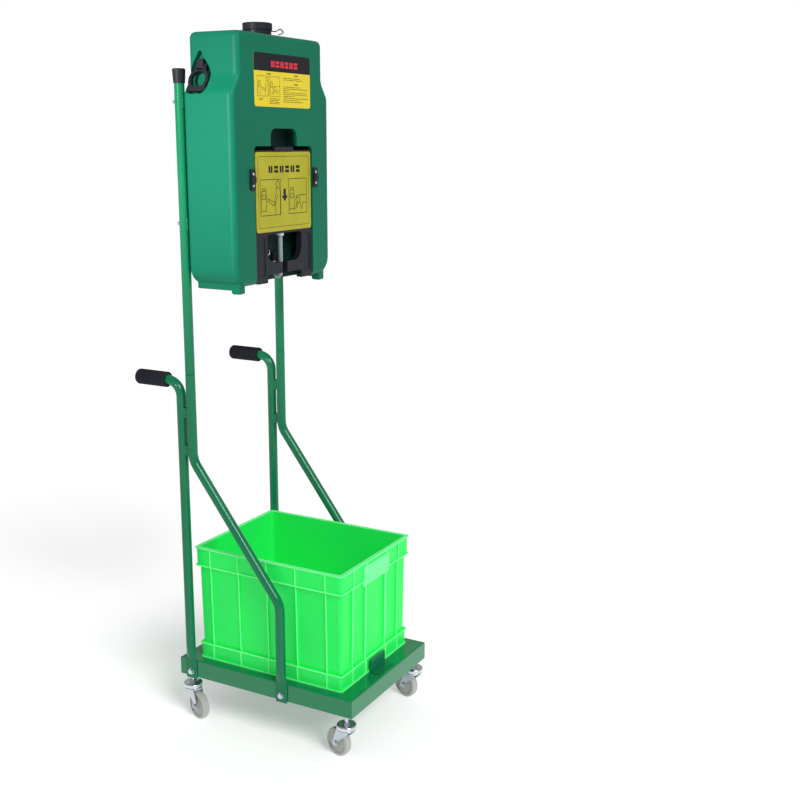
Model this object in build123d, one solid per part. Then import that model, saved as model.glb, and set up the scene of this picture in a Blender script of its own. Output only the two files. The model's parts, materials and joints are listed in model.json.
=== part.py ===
from build123d import *
from math import cos, pi, radians, sin
import os

# Mobile gravity-fed eyewash station: a tank with a pull-down spray arm, carried on the two
# masts of a four-caster trolley with a lift-out basket.
# Millimetres. +Z up, -Y is the front (the label side), +X is the right seen from the front.
# The origin is on the floor, under the middle of the whole object.

# ---- trolley -------------------------------------------------------------------------
PLATFORM_WIDTH = 400.0
PLATFORM_LENGTH = 540.0
DECK_TOP = 170.0
SKIRT_DEPTH = 48.0
SHEET = 1.5
OVERALL_LENGTH = 638.0                 # platform front edge to the ends of the grips
FRONT = -OVERALL_LENGTH / 2            # platform front edge
BACK = FRONT + PLATFORM_LENGTH
SKIRT_BOTTOM = DECK_TOP - SKIRT_DEPTH

# ---- tubes ---------------------------------------------------------------------------
TUBE_R = 12.5
TUBE_WALL = 1.5
FOOT_THICKNESS = 4.4
FOOT_WIDTH = 34.0
TUBE_X = PLATFORM_WIDTH / 2 + FOOT_THICKNESS / 2
FOOT_BOTTOM = SKIRT_BOTTOM - 4.0
FOOT_TOP = DECK_TOP + 2.0
FOOT_BLEND = 34.0                      # height over which the flat foot becomes round
BOLT_Z = DECK_TOP - 33.0
M8_R = 4.0
HANDLE_Y = FRONT + 501.0
HANDLE_BEND = 40.0
GRIP_Z = 938.0
GRIP_LENGTH = 96.0
GRIP_R = 20.0
MAST_FOOT_Y = FRONT + 210.0
MAST_Y = FRONT + 469.5
MAST_LOW_BEND_Z = 386.0
MAST_HIGH_BEND_Z = 733.0
MAST_BEND_R = 60.0
SLIP_Z = 958.0
SPIGOT = 60.0
MAST_TOP = 1690.0
SPACER_Z = (758.0, 857.0)

# ---- casters -------------------------------------------------------------------------
WHEEL_R = 37.5
WHEEL_WIDTH = 20.0
WHEEL_TURN = 5.5                       # degrees; angle the wheels are parked at
CASTER_INSET_X = 17.0
CASTER_INSET_Y = 26.0
TRAIL = 28.0
AXLE_R = 4.0
FORK_PLATE_Z = 80.0
RACE_TOP = 96.0
PLATE_Z = SKIRT_BOTTOM + 24.0          # underside of the corner plates
STEM_R = 6.0
RACE_SHEET = 2.5
BALL_R = 3.0
BALL_CIRCLE = 18.0
BALL_Z = RACE_TOP - RACE_SHEET - BALL_R
# name: (x side, y of the swivel axis, direction of the trail in degrees from +X)
CASTERS = {
    "front_left": (-1, FRONT + CASTER_INSET_Y, 75.0),
    "front_right": (1, FRONT + CASTER_INSET_Y, 75.0),
    "rear_left": (-1, BACK - CASTER_INSET_Y, -110.0),
    "rear_right": (1, BACK - CASTER_INSET_Y, -60.0),
}

# ---- basket --------------------------------------------------------------------------
BASKET_WIDTH = 360.0
BASKET_LENGTH = 458.0
BASKET_HEIGHT = 315.0
BASKET_WALL = 3.0
BASKET_FRONT = FRONT + 39.0
BASKET_Y = BASKET_FRONT + BASKET_LENGTH / 2
BASKET_Z = DECK_TOP + 0.3
BAND_TOP = 52.0
BAND_BOTTOM = 44.0
RIB_DEPTH = 8.0
BAND_INSET = 3.0                       # how far the bands lie inside their lips
LIP = 3.4
RIB_INSET = 3.0                        # how far the ribs lie inside the lips between the bands

# ---- tank ----------------------------------------------------------------------------
TANK_HALF = 213.5
TANK_UPPER_HALF = 185.5
TANK_DEPTH = 146.5
TANK_HEIGHT = 603.0
TANK_Z = 1187.0                        # underside of the body, without its skids
SHOULDER_LOW = 461.0
SHOULDER_HIGH = 500.0
TANK_WALL = 5.0
BAR_THICKNESS = 3.0
TANK_BACK = MAST_Y - TUBE_R - BAR_THICKNESS
TANK_FRONT = TANK_BACK - TANK_DEPTH
TANK_MID_Y = (TANK_BACK + TANK_FRONT) / 2
SKID_HEIGHT = 18.0
SKID_X = 181.0
RECESS_HALF = 129.0
RECESS_TOP = 337.0
RECESS_DEPTH = 46.0
POCKET_HALF = 58.0
POCKET_TOP = 380.0
POCKET_DEPTH = 34.0
NECK_R = 30.0
NECK_BORE = 25.0
NECK_HEIGHT = 26.0
TETHER_TURN = -50.0                     # degrees; the curl points to the front right
LABEL_HALF = 123.0
LABEL_LOW = 431.0
LABEL_HIGH = 557.0
DRAIN_X = -30.0
DRAIN_Z = 78.0
BAR_Z = (TANK_Z + 150.0, TANK_Z + 440.0)
CATCH_Z = 257.0
CATCH_HALF_HEIGHT = 25.0
CATCH_X = 140.0
TANK_BOLT_X = 100.0

# ---- pull-down arm -------------------------------------------------------------------
ARM_HALF = 126.5
ARM_TOP = 327.0
ARM_FACE = 3.0                         # how far the frame's face lies behind the tank's front
ARM_THICKNESS = 16.0
ARM_SKIN = 3.5
PLATE_HALF = 123.0
PLATE_LOW = 127.0
PLATE_HIGH = 323.0
WINDOW_HALF = 77.0
WINDOW_LOW = 48.0
WINDOW_HIGH = 121.0
BAR_LOW = 20.0
HINGE_Z = 12.0
HINGE_Y = 12.0                         # behind the tank's front face
PIN_R = 4.0
HOSE_R = 6.0
HOSE_BORE = 4.2
HOSE_FRONT_Y = 17.0                    # the run on the arm, behind the tank's front face
HOSE_BACK_Y = 38.0                     # the run on the tank
HOSE_TURN_Z = 20.0
HOSE_TOP_Z = 114.0
OUTLET_Z = 62.0
NOZZLE_Z = 235.0
NOZZLE_SPACING = 96.0

# ---- side handles --------------------------------------------------------------------
HANDLE_RING_Y = TANK_BACK - 36.0
HANDLE_PIVOT_Z = 524.0
HANDLE_POCKET_DEPTH = 13.0
HANDLE_LEAN = 20.0                     # degrees that a hanging ring leans outwards
LUG_X = TANK_UPPER_HALF - HANDLE_POCKET_DEPTH + 7.0

CLEAR = 0.05                           # radial clearance of a shaft in its hole


def box(x0, x1, y0, y1, z0, z1):
    """A box between two corners."""
    solid = Box(x1 - x0, y1 - y0, z1 - z0, align=(Align.MIN, Align.MIN, Align.MIN))
    return Pos(x0, y0, z0) * solid


def rod(radius, start, end):
    """A round bar from one point to another."""
    axis = Vector(*end) - Vector(*start)
    return extrude(Plane(origin=start, z_dir=axis) * Circle(radius), axis.length)


def ring(outer, inner, start, end):
    """A round bar with a bore."""
    return rod(outer, start, end) - rod(inner, start, end)


def hexagon(across_flats, start, end):
    """A hexagonal bar."""
    axis = Vector(*end) - Vector(*start)
    profile = RegularPolygon(across_flats / 2, 6, major_radius=False)
    return extrude(Plane(origin=start, z_dir=axis) * profile, axis.length)


def swept(radius, bore, points, bends):
    """A tube along straight runs joined by tangent arcs."""
    path = FilletPolyline(*points, radius=bends)
    plane = Plane(origin=path @ 0, z_dir=path % 0)
    outer = sweep(plane * Circle(radius), path=path)
    return outer - sweep(plane * Circle(bore), path=path)


def group(solids):
    """Separate solids that share one node."""
    return Compound(children=list(solids))


# ---- platform ------------------------------------------------------------------------
def platform_deck():
    """Sheet-steel pan with a skirt folded down all round."""
    half = PLATFORM_WIDTH / 2
    outer = box(-half, half, FRONT, BACK, SKIRT_BOTTOM, DECK_TOP)
    outer = fillet(outer.edges().group_by(Axis.Z)[-1], 3.0)
    inner = box(-half + SHEET, half - SHEET, FRONT + SHEET, BACK - SHEET,
                SKIRT_BOTTOM - 1, DECK_TOP - SHEET)
    pan = outer - inner
    for x, y in foot_places():
        pan -= rod(M8_R + 0.25, (x - 20, y, BOLT_Z), (x + 20, y, BOLT_Z))
    return pan


def foot_places():
    """Where the flattened tube ends are bolted to the skirt."""
    return [(side * PLATFORM_WIDTH / 2, y) for side in (-1, 1) for y in (MAST_FOOT_Y, HANDLE_Y)]


def deck_stiffeners():
    """Two folded channels welded under the deck."""
    ribs = []
    top = DECK_TOP - SHEET
    for y in (FRONT + 165, FRONT + 350):
        half = PLATFORM_WIDTH / 2 - SHEET
        channel = box(-half, half, y - 20, y + 20, top - 25, top)
        channel -= box(-half - 1, half + 1, y - 18, y + 18, top - 23, top + 1)
        ribs.append(channel)
    return group(ribs)


def caster_places():
    """Swivel axes of the four casters."""
    x = PLATFORM_WIDTH / 2 - CASTER_INSET_X
    return [(side * x, y) for side, y, _ in CASTERS.values()]


def caster_plates():
    """Corner plates welded inside the skirt, which carry the caster stems."""
    plates = []
    half = PLATFORM_WIDTH / 2 - SHEET
    for (x, y), (side, _, _) in zip(caster_places(), CASTERS.values()):
        edge_y = FRONT + SHEET if y < 0 else BACK - SHEET
        inward_y = 62 if y < 0 else -62
        low_x, high_x = sorted((side * half, side * (half - 62)))
        low_y, high_y = sorted((edge_y, edge_y + inward_y))
        plate = box(low_x, high_x, low_y, high_y, PLATE_Z, PLATE_Z + 4)
        plates.append(plate - rod(STEM_R + 0.25, (x, y, PLATE_Z - 1), (x, y, PLATE_Z + 5)))
    return group(plates)


def basket_bracket():
    """Angle welded to the deck in front of the basket, which stops it sliding forwards."""
    back = BASKET_FRONT + 1.0
    upright = box(-38, 38, back - 2.5, back, DECK_TOP, DECK_TOP + 36)
    upright = chamfer(upright.edges().filter_by(Axis.Y).group_by(Axis.Z)[-1], 4.0)
    foot = box(-38, 38, back - 28, back, DECK_TOP, DECK_TOP + 2.5)
    return upright + foot


# ---- tubes ---------------------------------------------------------------------------
def flattened_foot(y, outer_side):
    """Tube end pressed flat, with its bolt hole and the blend up to the round tube."""
    x = outer_side * TUBE_X
    flat = extrude(
        Pos(x, y, FOOT_BOTTOM) * RectangleRounded(FOOT_THICKNESS, FOOT_WIDTH, 2.0),
        FOOT_TOP - FOOT_BOTTOM,
    )
    low = Pos(x, y, FOOT_TOP) * Ellipse(FOOT_THICKNESS / 2, FOOT_WIDTH / 2)
    high = Pos(x, y, FOOT_TOP + FOOT_BLEND) * Circle(TUBE_R)
    blend = loft([low, high])
    foot = flat + blend
    return foot - rod(M8_R + 0.25, (x - 20, y, BOLT_Z), (x + 20, y, BOLT_Z))


def handle_tube(side):
    """Rear post, bent backwards at the top to carry the grip."""
    x = side * TUBE_X
    start = FOOT_TOP + FOOT_BLEND
    end_y = FRONT + OVERALL_LENGTH - 6.0
    post = swept(
        TUBE_R,
        TUBE_R - TUBE_WALL,
        [(x, HANDLE_Y, start), (x, HANDLE_Y, GRIP_Z), (x, end_y, GRIP_Z)],
        HANDLE_BEND,
    )
    return flattened_foot(HANDLE_Y, side) + post


def mast_lower(side):
    """Front leg that leans back over the basket and becomes the mast."""
    x = side * TUBE_X
    start = FOOT_TOP + FOOT_BLEND
    points = [
        (x, MAST_FOOT_Y, start),
        (x, MAST_FOOT_Y, MAST_LOW_BEND_Z),
        (x, MAST_Y, MAST_HIGH_BEND_Z),
        (x, MAST_Y, SLIP_Z),
    ]
    return flattened_foot(MAST_FOOT_Y, side) + swept(TUBE_R, TUBE_R - TUBE_WALL, points, MAST_BEND_R)


def mast_upper(side):
    """Upper mast, with a necked end that plugs into the lower one."""
    x = side * TUBE_X
    tube = rod(TUBE_R, (x, MAST_Y, SLIP_Z + 1.5), (x, MAST_Y, MAST_TOP))
    tube = chamfer(tube.edges().group_by(Axis.Z)[0], 1.4)
    spigot = TUBE_R - TUBE_WALL - CLEAR
    tube += rod(spigot, (x, MAST_Y, SLIP_Z - SPIGOT), (x, MAST_Y, SLIP_Z + 2))
    bore = rod(spigot - TUBE_WALL, (x, MAST_Y, SLIP_Z - SPIGOT - 1), (x, MAST_Y, MAST_TOP + 1))
    tube -= bore
    for z in BAR_Z:
        tube -= rod(3.25, (x, MAST_Y - 20, z), (x, MAST_Y + 20, z))
    return tube


def mast_end_caps():
    """Flared plastic caps on the mast tops."""
    caps = []
    for side in (-1, 1):
        x = side * TUBE_X
        low = Pos(x, MAST_Y, MAST_TOP - 19) * Circle(TUBE_R + 1.6)
        high = Pos(x, MAST_Y, MAST_TOP + 11) * Circle(TUBE_R + 3.4)
        cap = loft([low, high])
        cap += extrude(Pos(x, MAST_Y, MAST_TOP + 11) * Circle(TUBE_R + 3.4), 4)
        cap = fillet(cap.edges().group_by(Axis.Z)[-1], 3.5)
        caps.append(cap - rod(TUBE_R, (x, MAST_Y, MAST_TOP - 20), (x, MAST_Y, MAST_TOP)))
    return group(caps)


def grip(side):
    """Ribbed foam grip with a closed, rounded end."""
    x = side * TUBE_X
    start = FRONT + OVERALL_LENGTH - GRIP_LENGTH
    end = FRONT + OVERALL_LENGTH
    body = rod(GRIP_R, (x, start, GRIP_Z), (x, end, GRIP_Z))
    body = fillet(body.edges().group_by(Axis.Y)[-1], 7.0)
    body = fillet(body.edges().group_by(Axis.Y)[0], 2.0)
    for index in range(12):
        y = start + 8.0 + index * 6.8
        body -= ring(GRIP_R + 2, GRIP_R - 1.1, (x, y, GRIP_Z), (x, y + 1.8, GRIP_Z))
    return body - rod(TUBE_R, (x, start - 1, GRIP_Z), (x, end - 6, GRIP_Z))


def tube_spacers():
    """Welded saddles that hold each handle post to its mast."""
    spacers = []
    for side in (-1, 1):
        x = side * TUBE_X
        for z in SPACER_Z:
            block = box(x - 7, x + 7, MAST_Y, HANDLE_Y, z - 13, z + 13)
            for y in (MAST_Y, HANDLE_Y):
                block -= rod(TUBE_R, (x, y, z - 14), (x, y, z + 14))
            spacers.append(block)
    return group(spacers)


def foot_bolts():
    """Domed-head bolts through the tube feet and the skirt."""
    bolts = []
    outer = TUBE_X + FOOT_THICKNESS / 2
    for x, y in foot_places():
        side = 1 if x > 0 else -1
        shank_end = side * (PLATFORM_WIDTH / 2 - 14)
        bolt = rod(M8_R, (side * outer, y, BOLT_Z), (shank_end, y, BOLT_Z))
        washer = rod(8.5, (side * outer, y, BOLT_Z), (side * (outer + 1.4), y, BOLT_Z))
        head = hexagon(13.0, (side * (outer + 1.4), y, BOLT_Z), (side * (outer + 6.4), y, BOLT_Z))
        bolts.append(bolt + washer + head)
    return group(bolts)


def foot_nuts():
    """Nuts on the foot bolts, inside the skirt."""
    nuts = []
    for x, y in foot_places():
        side = 1 if x > 0 else -1
        start = side * (PLATFORM_WIDTH / 2 - SHEET)
        end = start - side * 6.5
        nut = hexagon(13.0, (start, y, BOLT_Z), (end, y, BOLT_Z))
        nuts.append(nut - rod(M8_R, (start + side, y, BOLT_Z), (end - side, y, BOLT_Z)))
    return group(nuts)


# ---- casters -------------------------------------------------------------------------
def caster_stems():
    """Threaded stems, each with its king pin below the top race."""
    stems = []
    for x, y in caster_places():
        stem = rod(STEM_R, (x, y, FORK_PLATE_Z - 5), (x, y, PLATE_Z + 20))
        stem += rod(9.0, (x, y, FORK_PLATE_Z - 5), (x, y, FORK_PLATE_Z - 1.5))
        stem += hexagon(17.0, (x, y, RACE_TOP), (x, y, RACE_TOP + 6))
        stems.append(stem)
    return group(stems)


def caster_nuts():
    """Nuts above and below each corner plate."""
    nuts = []
    for x, y in caster_places():
        for z in (PLATE_Z - 9, PLATE_Z + 4):
            nut = hexagon(18.0, (x, y, z), (x, y, z + 9))
            nuts.append(nut - rod(STEM_R, (x, y, z - 1), (x, y, z + 10)))
    return group(nuts)


def caster_top_races():
    """Dished top race of each swivel bearing, fixed to the stem."""
    races = []
    for x, y in caster_places():
        dish = rod(26.0, (x, y, RACE_TOP - 10), (x, y, RACE_TOP))
        dish = fillet(dish.edges().group_by(Axis.Z)[-1], 4.0)
        dish -= rod(24.2, (x, y, RACE_TOP - 11), (x, y, RACE_TOP - 2.5))
        races.append(dish - rod(STEM_R, (x, y, RACE_TOP - 12), (x, y, RACE_TOP + 1)))
    return group(races)


def caster_balls():
    """Ball ring of each swivel bearing."""
    balls = []
    for x, y in caster_places():
        for index in range(8):
            angle = radians(index * 45)
            place = Pos(x + BALL_CIRCLE * cos(angle), y + BALL_CIRCLE * sin(angle), BALL_Z)
            balls.append(place * Sphere(BALL_R))
    return group(balls)


def caster_frame(name):
    """Placement of a caster: its swivel axis at the origin and its trail along +X."""
    side, y, heading = CASTERS[name]
    return Pos(side * (PLATFORM_WIDTH / 2 - CASTER_INSET_X), y, 0) * Rot(0, 0, heading)


def caster_fork(name):
    """Pressed fork with the lower race of its swivel bearing."""
    plate = rod(23.5, (0, 0, FORK_PLATE_Z), (0, 0, FORK_PLATE_Z + 2.5))
    race_top = BALL_Z - BALL_R - 0.3
    plate += ring(22.0, 12.0, (0, 0, FORK_PLATE_Z + 2.5), (0, 0, race_top))
    outline = Polyline(
        (-15, FORK_PLATE_Z + 2.5),
        (21, FORK_PLATE_Z + 2.5),
        (TRAIL + 9, WHEEL_R + 4),
        (TRAIL + 9, WHEEL_R),
        (TRAIL - 9, WHEEL_R),
        (TRAIL - 9.5, WHEEL_R + 6),
        (-15, FORK_PLATE_Z - 8),
        close=True,
    )
    side_face = Plane.XZ * (make_face(outline) + Pos(TRAIL, WHEEL_R) * Circle(9.0))
    leg = extrude(side_face, 2.2)
    inner = WHEEL_WIDTH / 2 + 2.0
    fork = plate + Pos(0, -inner, 0) * leg + Pos(0, inner + 2.2, 0) * leg
    fork -= rod(STEM_R + CLEAR, (0, 0, 0), (0, 0, 200))
    fork -= rod(AXLE_R, (TRAIL, -40, WHEEL_R), (TRAIL, 40, WHEEL_R))
    return caster_frame(name) * fork


def caster_wheel(name):
    """Moulded wheel with a rounded tread, recessed faces and a hub."""
    half = WHEEL_WIDTH / 2
    wheel = rod(WHEEL_R, (TRAIL, -half, WHEEL_R), (TRAIL, half, WHEEL_R))
    wheel = fillet(wheel.edges(), 5.0)
    for side in (-1, 1):
        recess_floor = side * (half - 2.5)
        face = side * (half + 1)
        wheel -= ring(30.0, 11.0, (TRAIL, recess_floor, WHEEL_R), (TRAIL, face, WHEEL_R))
    hub = half + 1.6
    wheel += rod(8.0, (TRAIL, -hub, WHEEL_R), (TRAIL, hub, WHEEL_R))
    wheel -= rod(AXLE_R + CLEAR, (TRAIL, -40, WHEEL_R), (TRAIL, 40, WHEEL_R))
    axle = Pos(TRAIL, 0, WHEEL_R)
    parked = axle * Rot(0, WHEEL_TURN, 0) * axle.inverse()
    return caster_frame(name) * parked * wheel


def caster_axle(name):
    """Axle bolt with its head and nut, fixed in the fork."""
    outer = WHEEL_WIDTH / 2 + 4.2
    axle = rod(AXLE_R, (TRAIL, -outer - 6, WHEEL_R), (TRAIL, outer + 3, WHEEL_R))
    axle += hexagon(11.0, (TRAIL, -outer - 4.5, WHEEL_R), (TRAIL, -outer, WHEEL_R))
    axle += hexagon(11.0, (TRAIL, outer, WHEEL_R), (TRAIL, outer + 4, WHEEL_R))
    return caster_frame(name) * axle


# ---- basket --------------------------------------------------------------------------
def basket():
    """Stacking crate with a rim band, a foot band and outside ribs."""
    mid = RIB_DEPTH
    draft = 0.9

    def block(inset, low, high):
        width = BASKET_WIDTH - 2 * inset - 2 * (BASKET_HEIGHT - low) * sin(radians(draft))
        length = BASKET_LENGTH - 2 * inset - 2 * (BASKET_HEIGHT - low) * sin(radians(draft))
        face = Pos(0, BASKET_Y, BASKET_Z + low) * RectangleRounded(width, length, 9 - inset / 2)
        return extrude(face, high - low, taper=-draft)

    band_low = BASKET_HEIGHT - BAND_TOP
    shell = block(mid, 0, BASKET_HEIGHT)
    shell += block(BAND_INSET, band_low, BASKET_HEIGHT)
    shell += block(BAND_INSET, 0, BAND_BOTTOM)
    for low, high in ((0, LIP), (BAND_BOTTOM - LIP, BAND_BOTTOM),
                      (band_low, band_low + LIP), (BASKET_HEIGHT - LIP, BASKET_HEIGHT)):
        shell += block(0, low, high)
    half_x = BASKET_WIDTH / 2
    half_y = BASKET_LENGTH / 2
    ribs = None
    for fraction in (-0.39, -0.195, 0.0, 0.195, 0.39):
        y = BASKET_Y + fraction * BASKET_LENGTH
        rib = box(-half_x - 5, half_x + 5, y - 1.5, y + 1.5, BASKET_Z, BASKET_Z + BASKET_HEIGHT)
        ribs = rib if ribs is None else ribs + rib
    for x, thick in ((-118, 3), (-52, 6), (52, 6), (118, 3)):
        ribs += box(x - thick / 2, x + thick / 2, BASKET_Y - half_y - 5, BASKET_Y + half_y + 5,
                    BASKET_Z, BASKET_Z + BASKET_HEIGHT)
    ribs += box(-66, 66, BASKET_Y - half_y - 5, BASKET_Y + half_y + 5,
                BASKET_Z + BASKET_HEIGHT - BAND_TOP - 14, BASKET_Z + BASKET_HEIGHT - 12)
    shell += ribs & block(RIB_INSET, 0, BASKET_HEIGHT)
    shell += ribs & block(0.4, band_low, BASKET_HEIGHT)
    shell += ribs & block(0.4, 0, BAND_BOTTOM)
    return shell - block(mid + BASKET_WALL, BASKET_WALL, BASKET_HEIGHT + 2)


# ---- tank ----------------------------------------------------------------------------
def tank_outline(inset):
    """Front outline of the tank body, drawn inwards by a wall thickness."""
    wide = TANK_HALF - inset
    narrow = TANK_UPPER_HALF - inset
    low, high = TANK_Z + inset, TANK_Z + TANK_HEIGHT - inset
    shift = inset * 0.3
    right = [
        (wide, low),
        (wide, TANK_Z + SHOULDER_LOW - shift),
        (narrow, TANK_Z + SHOULDER_HIGH - shift),
        (narrow, high),
    ]
    left = [(-x, z) for x, z in reversed(right)]
    path = FilletPolyline(*right, *left, radius=[46 - inset, 30, 30, 16 - inset / 2,
                                                 16 - inset / 2, 30, 30, 46 - inset], close=True)
    return make_face(path)


def tank_prism(inset):
    """The tank body as a solid block."""
    depth = TANK_DEPTH - 2 * inset
    front = Plane(origin=(0, TANK_FRONT + inset, 0), x_dir=(1, 0, 0), z_dir=(0, -1, 0))
    block = extrude(front * tank_outline(inset), -depth)
    rim = block.edges().group_by(Axis.Y)
    return fillet(rim[0] + rim[-1], 15.0 - inset)


def recess(grow):
    """Space for the arm and the finger pocket above it."""
    depth = RECESS_DEPTH + grow
    plane = Plane(origin=(0, TANK_FRONT - 1, TANK_Z), x_dir=(1, 0, 0), z_dir=(0, -1, 0))
    low = -SKID_HEIGHT - 2
    main = Pos(0, (RECESS_TOP + low) / 2) * RectangleRounded(
        2 * (RECESS_HALF + grow), RECESS_TOP - low + 2 * grow, 12.0)
    pocket = Pos(0, POCKET_TOP - 45) * RectangleRounded(
        2 * (POCKET_HALF + grow), 90 + 2 * grow, 20.0)
    return extrude(plane * main, -(depth + 1)) + extrude(
        plane * pocket, -(POCKET_DEPTH + grow + 1))


def handle_pocket(side, grow):
    """Moulded hollow in the tank's side for a handle ring."""
    depth = HANDLE_POCKET_DEPTH + grow
    plane = Plane(origin=(side * (TANK_HALF + 1), 0, TANK_Z), x_dir=(0, side, 0), z_dir=(side, 0, 0))
    y = side * HANDLE_RING_Y
    drop = [
        (y - 32 - grow, 458 - grow),
        (y + 32 + grow, 458 - grow),
        (y + 32 + grow, 512),
        (y, 564 + grow),
        (y - 32 - grow, 512),
    ]
    outline = FilletPolyline(*drop, radius=[18, 18, 22, 6, 22], close=True)
    reach = TANK_HALF + 1 - TANK_UPPER_HALF + depth
    return extrude(plane * make_face(outline), -reach)


def tank_shell():
    """Hollow moulded tank with its neck, skids, arm recess and side pockets."""
    body = tank_prism(0)
    for side in (-1, 1):
        x = side * SKID_X
        skid = box(x - 11, x + 11, TANK_FRONT + 12, TANK_BACK - 12,
                   TANK_Z - SKID_HEIGHT / 2, TANK_Z + 30)
        body += fillet(skid.edges().group_by(Axis.Z)[0], 3.0)
        stub = box(x - 11, x + 11, TANK_FRONT + 8, TANK_FRONT + 32, TANK_Z - SKID_HEIGHT, TANK_Z + 30)
        body += fillet(stub.edges().group_by(Axis.Z)[0], 5.0)
    body -= recess(0)
    cavity = tank_prism(TANK_WALL) - recess(TANK_WALL)
    for side in (-1, 1):
        body -= handle_pocket(side, 0)
        cavity -= handle_pocket(side, TANK_WALL)
    top = TANK_Z + TANK_HEIGHT
    body += rod(NECK_R, (0, TANK_MID_Y, top - 8), (0, TANK_MID_Y, top + NECK_HEIGHT))
    shell = body - cavity
    shell -= rod(NECK_BORE, (0, TANK_MID_Y, top - 12), (0, TANK_MID_Y, top + NECK_HEIGHT + 1))
    back_wall = TANK_FRONT + RECESS_DEPTH
    outlet = (0, back_wall - 2, TANK_Z + OUTLET_Z)
    shell -= rod(9.0, outlet, (0, back_wall + 12, TANK_Z + OUTLET_Z))
    drain = (DRAIN_X, back_wall - 2, TANK_Z + DRAIN_Z)
    shell -= rod(7.0, drain, (DRAIN_X, back_wall + 12, TANK_Z + DRAIN_Z))
    for x, z in catch_screw_places():
        shell -= rod(1.8, (x, TANK_FRONT - 2, z), (x, TANK_FRONT + 12, z))
    for x, z in tank_bolt_places():
        shell -= rod(3.0, (x, TANK_BACK - 12, z), (x, TANK_BACK + 2, z))
    for side in (-1, 1):
        inner = side * (RECESS_HALF - 1)
        outer = side * (RECESS_HALF + 10)
        y, z = TANK_FRONT + HINGE_Y, TANK_Z + HINGE_Z
        shell -= rod(PIN_R, (inner, y, z), (outer, y, z))
    return shell


def catch_screw_places():
    """Screws of the two arm catches."""
    return [(side * CATCH_X, TANK_Z + CATCH_Z + dz) for side in (-1, 1) for dz in (-14.0, 14.0)]


def tank_bolt_places():
    """Bolts that hold the tank to the cross bars."""
    return [(side * TANK_BOLT_X, z) for side in (-1, 1) for z in BAR_Z]


def cross_bars():
    """Flat bars across the masts, which carry the tank."""
    bars = []
    for z in BAR_Z:
        half = TUBE_X + 8
        bar = box(-half, half, TANK_BACK, TANK_BACK + BAR_THICKNESS, z - 15, z + 15)
        for side in (-1, 1):
            x = side * TUBE_X
            bar -= rod(3.25, (x, TANK_BACK - 1, z), (x, TANK_BACK + 5, z))
            x = side * TANK_BOLT_X
            bar -= rod(3.25, (x, TANK_BACK - 1, z), (x, TANK_BACK + 5, z))
        bars.append(bar)
    return group(bars)


def bar_bolts():
    """Bolts that clamp the cross bars to the masts."""
    bolts = []
    for side in (-1, 1):
        x = side * TUBE_X
        for z in BAR_Z:
            end = MAST_Y + TUBE_R
            bolt = rod(3.0, (x, TANK_BACK, z), (x, end + 8, z))
            bolt += hexagon(10.0, (x, end, z), (x, end + 5, z))
            bolts.append(bolt)
    return group(bolts)


def tank_bolts():
    """Bolts from the cross bars into the tank's moulded-in inserts."""
    bolts = []
    for x, z in tank_bolt_places():
        face = TANK_BACK + BAR_THICKNESS
        bolt = rod(3.0, (x, TANK_BACK - 4.5, z), (x, face, z))
        bolt += hexagon(10.0, (x, face, z), (x, face + 4, z))
        bolts.append(bolt)
    return group(bolts)


def upper_label():
    """Instruction sticker on the upper body."""
    plane = Plane(origin=(0, TANK_FRONT, TANK_Z), x_dir=(1, 0, 0), z_dir=(0, -1, 0))
    height = LABEL_HIGH - LABEL_LOW
    face = Pos(0, (LABEL_HIGH + LABEL_LOW) / 2) * RectangleRounded(2 * LABEL_HALF, height, 8.0)
    return extrude(plane * face, 0.5)


# ---- filler --------------------------------------------------------------------------
def fill_cap():
    """Screw cap with grip ribs."""
    top = TANK_Z + TANK_HEIGHT
    low, high = top + 15.5, top + 32.0
    cap = rod(37.0, (0, TANK_MID_Y, low), (0, TANK_MID_Y, high))
    cap = fillet(cap.edges().group_by(Axis.Z)[-1], 2.5)
    for index in range(36):
        angle = 2 * pi * index / 36
        x, y = 37.4 * cos(angle), TANK_MID_Y + 37.4 * sin(angle)
        cap -= rod(1.3, (x, y, low - 1), (x, y, high - 4))
    cap -= rod(28.0, (0, TANK_MID_Y, high - 1.6), (0, TANK_MID_Y, high + 1))
    cap += box(-24, 24, TANK_MID_Y - 3, TANK_MID_Y + 3, high - 2, high)
    return cap - rod(NECK_R + CLEAR, (0, TANK_MID_Y, low - 1), (0, TANK_MID_Y, high - 4.0))


def cap_gasket():
    """Flat gasket between the neck and the cap."""
    z = TANK_Z + TANK_HEIGHT + NECK_HEIGHT
    return ring(NECK_R - 0.5, NECK_BORE, (0, TANK_MID_Y, z), (0, TANK_MID_Y, z + 1.7))


def cap_tether():
    """Keeper ring under the cap, with its pull tab and its curled strap."""
    low = TANK_Z + TANK_HEIGHT + 2.0
    z = low + 10.0
    keeper = ring(34.5, NECK_R + 0.2, (0, TANK_MID_Y, low), (0, TANK_MID_Y, z + 2.2))
    tab = box(-52, -33, TANK_MID_Y - 5, TANK_MID_Y + 5, z, z + 2.2)
    keeper += fillet(tab.edges().filter_by(Axis.Z).group_by(Axis.X)[0], 4.5)
    curl = FilletPolyline((33, z + 1.1), (46, z + 1.1), (58, z + 8), (66, z - 2), (52, z - 7),
                          radius=[8, 5, 3])
    plane = Plane(origin=(0, TANK_MID_Y, 0), x_dir=(1, 0, 0), z_dir=(0, -1, 0))
    path = plane * curl
    section = Plane(origin=path @ 0, z_dir=path % 0) * Rectangle(2.2, 6.0)
    tether = keeper + sweep(section, path=path)
    neck = Pos(0, TANK_MID_Y, 0)
    return neck * Rot(0, 0, TETHER_TURN) * neck.inverse() * tether


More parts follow.
